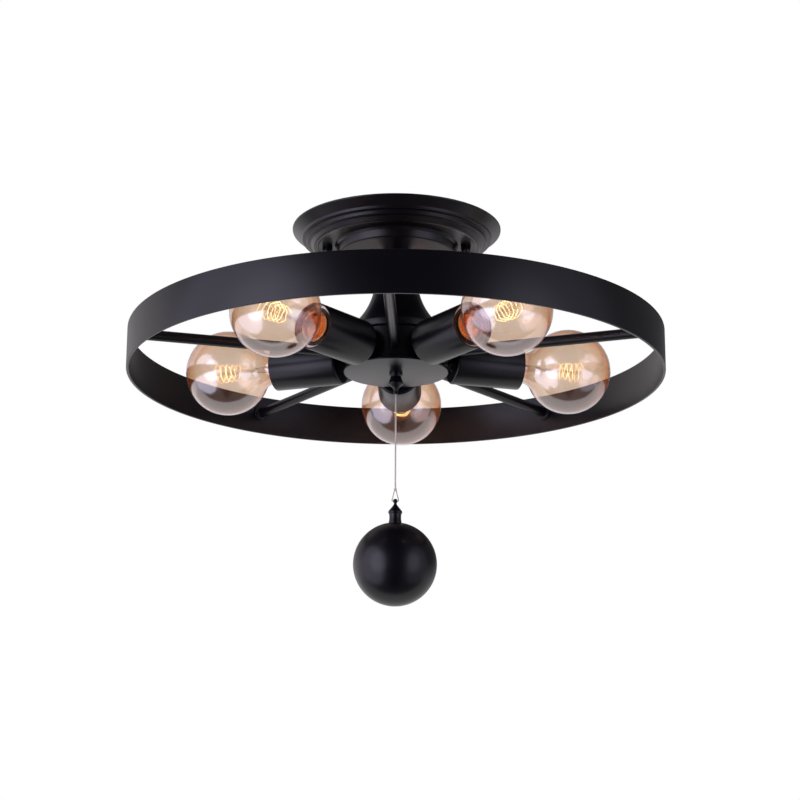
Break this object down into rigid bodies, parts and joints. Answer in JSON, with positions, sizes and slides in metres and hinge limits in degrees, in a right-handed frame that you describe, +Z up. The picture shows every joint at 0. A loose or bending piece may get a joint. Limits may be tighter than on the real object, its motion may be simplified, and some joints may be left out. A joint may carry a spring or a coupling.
{
  "type": "semi-flush ceiling light",
  "caption": "Semi-flush ceiling light: stepped canopy, trumpet neck and hub with spokes to a flat ring, globe lamps pointing outwards in cups, and a ball on a pull cord.",
  "frame": {"origin": "centre of the canopy in the ceiling plane, on the top face of the ceiling strap", "axes": "+Z up into the ceiling, along the axis of canopy, neck, hub and ring; -Y towards the front spoke; +X to the right along the ceiling strap"},
  "size_m": [0.4952, 0.4952, 0.3572],
  "materials": {
    "black_paint": "satin powder coat",
    "black_ball": "matte paint",
    "zinc_steel": "zinc plated",
    "spring_steel": "bright",
    "green_screw": "dyed zinc",
    "black_phenolic": "moulded",
    "brass": "satin",
    "lead_sheath": "matte",
    "pale_cord": "twisted",
    "amber_glass": "clear amber",
    "filament_glass": "clear"
  },
  "bodies": {
    "fixture": {"canopy": "black_paint", "mounting_bracket": "zinc_steel", "canopy_studs": "zinc_steel", "canopy_nuts": "black_paint", "earth_screw": "green_screw", "stem": "zinc_steel", "neck": "black_paint", "hub_body": "black_paint", "hub_plate": "black_paint", "plate_screws": "black_paint", "finial": "black_paint", "switch_housing": "black_phenolic", "return_spring": "spring_steel", "ring_band": "black_paint", "lock_nuts": "black_paint", "socket_nipples": "black_paint", "lampholders": "black_phenolic", "screw_shells": "brass", "centre_contacts": "brass", "leads": "lead_sheath", "spoke_1": "black_paint", "spoke_2": "black_paint", "spoke_3": "black_paint", "spoke_4": "black_paint", "spoke_5": "black_paint", "socket_cup_1": "black_paint", "socket_cup_2": "black_paint", "socket_cup_3": "black_paint", "socket_cup_4": "black_paint", "socket_cup_5": "black_paint"},
    "plunger": {"pull_plunger": "spring_steel", "cord_inner": "pale_cord"},
    "cord_top": {"cord_upper": "pale_cord"},
    "cord": {"cord_lower": "pale_cord"},
    "loop": {"cord_loop": "pale_cord"},
    "ball": {"ball": "black_ball", "ball_cap": "black_paint"},
    "lamp_1_tip": {"bulb_tip_1": "brass"},
    "lamp_1": {"bulb_glass_1": "amber_glass", "bulb_cap_1": "brass", "bulb_mount_1": "filament_glass"},
    "lamp_2_tip": {"bulb_tip_2": "brass"},
    "lamp_2": {"bulb_glass_2": "amber_glass", "bulb_cap_2": "brass", "bulb_mount_2": "filament_glass"},
    "lamp_3_tip": {"bulb_tip_3": "brass"},
    "lamp_3": {"bulb_glass_3": "amber_glass", "bulb_cap_3": "brass", "bulb_mount_3": "filament_glass"},
    "lamp_4_tip": {"bulb_tip_4": "brass"},
    "lamp_4": {"bulb_glass_4": "amber_glass", "bulb_cap_4": "brass", "bulb_mount_4": "filament_glass"},
    "lamp_5_tip": {"bulb_tip_5": "brass"},
    "lamp_5": {"bulb_glass_5": "amber_glass", "bulb_cap_5": "brass", "bulb_mount_5": "filament_glass"}
  },
  "joints": [
    {"name": "cord_pull", "type": "slide", "parent": "fixture", "child": "plunger", "axis": [0, 0, -1], "range_m": [0, 0.007], "stiffness_N_per_m": 600, "springref_m": -0.008, "deforming": ["return_spring"]},
    {"name": "swing_fore_aft", "type": "hinge", "parent": "plunger", "child": "cord_top", "pos_m": [0, 0, -0.1608], "axis": [1, 0, 0], "range_deg": [-40, 40]},
    {"name": "swing_side", "type": "hinge", "parent": "cord_top", "child": "cord", "pos_m": [0, 0, -0.1668], "axis": [0, 1, 0], "range_deg": [-40, 40]},
    {"name": "cord_twist", "type": "hinge", "parent": "cord", "child": "loop", "pos_m": [0, 0, -0.2503], "axis": [0, 0, 1], "range_deg": [-180, 180]},
    {"name": "ball_tilt", "type": "hinge", "parent": "loop", "child": "ball", "pos_m": [0, 0, -0.261], "axis": [1, 0, 0], "range_deg": [-45, 45]},
    {"name": "lamp_1_out", "type": "slide", "parent": "fixture", "child": "lamp_1_tip", "axis": [0.5878, -0.809, 0], "range_m": [0, 0.01816]},
    {"name": "lamp_1_turn", "type": "hinge", "parent": "lamp_1_tip", "child": "lamp_1", "pos_m": [0.07053, -0.09708, -0.124], "axis": [0.5878, -0.809, 0], "range_deg": [0, 1800]},
    {"name": "lamp_2_out", "type": "slide", "parent": "fixture", "child": "lamp_2_tip", "axis": [0.9511, 0.309, 0], "range_m": [0, 0.01816]},
    {"name": "lamp_2_turn", "type": "hinge", "parent": "lamp_2_tip", "child": "lamp_2", "pos_m": [0.11413, 0.03708, -0.124], "axis": [0.9511, 0.309, 0], "range_deg": [0, 1800]},
    {"name": "lamp_3_out", "type": "slide", "parent": "fixture", "child": "lamp_3_tip", "axis": [0, 1, 0], "range_m": [0, 0.01816]},
    {"name": "lamp_3_turn", "type": "hinge", "parent": "lamp_3_tip", "child": "lamp_3", "pos_m": [0, 0.12, -0.124], "axis": [0, 1, 0], "range_deg": [0, 1800]},
    {"name": "lamp_4_out", "type": "slide", "parent": "fixture", "child": "lamp_4_tip", "axis": [-0.9511, 0.309, 0], "range_m": [0, 0.01816]},
    {"name": "lamp_4_turn", "type": "hinge", "parent": "lamp_4_tip", "child": "lamp_4", "pos_m": [-0.11413, 0.03708, -0.124], "axis": [-0.9511, 0.309, 0], "range_deg": [0, 1800]},
    {"name": "lamp_5_out", "type": "slide", "parent": "fixture", "child": "lamp_5_tip", "axis": [-0.5878, -0.809, 0], "range_m": [0, 0.01816]},
    {"name": "lamp_5_turn", "type": "hinge", "parent": "lamp_5_tip", "child": "lamp_5", "pos_m": [-0.07053, -0.09708, -0.124], "axis": [-0.5878, -0.809, 0], "range_deg": [0, 1800]}
  ],
  "couplings": [
    {"joint": "lamp_1_out", "follows": "lamp_1_turn", "m_per_rad": 0.00057757},
    {"joint": "lamp_2_out", "follows": "lamp_2_turn", "m_per_rad": 0.00057757},
    {"joint": "lamp_3_out", "follows": "lamp_3_turn", "m_per_rad": 0.00057757},
    {"joint": "lamp_4_out", "follows": "lamp_4_turn", "m_per_rad": 0.00057757},
    {"joint": "lamp_5_out", "follows": "lamp_5_turn", "m_per_rad": 0.00057757}
  ]
}
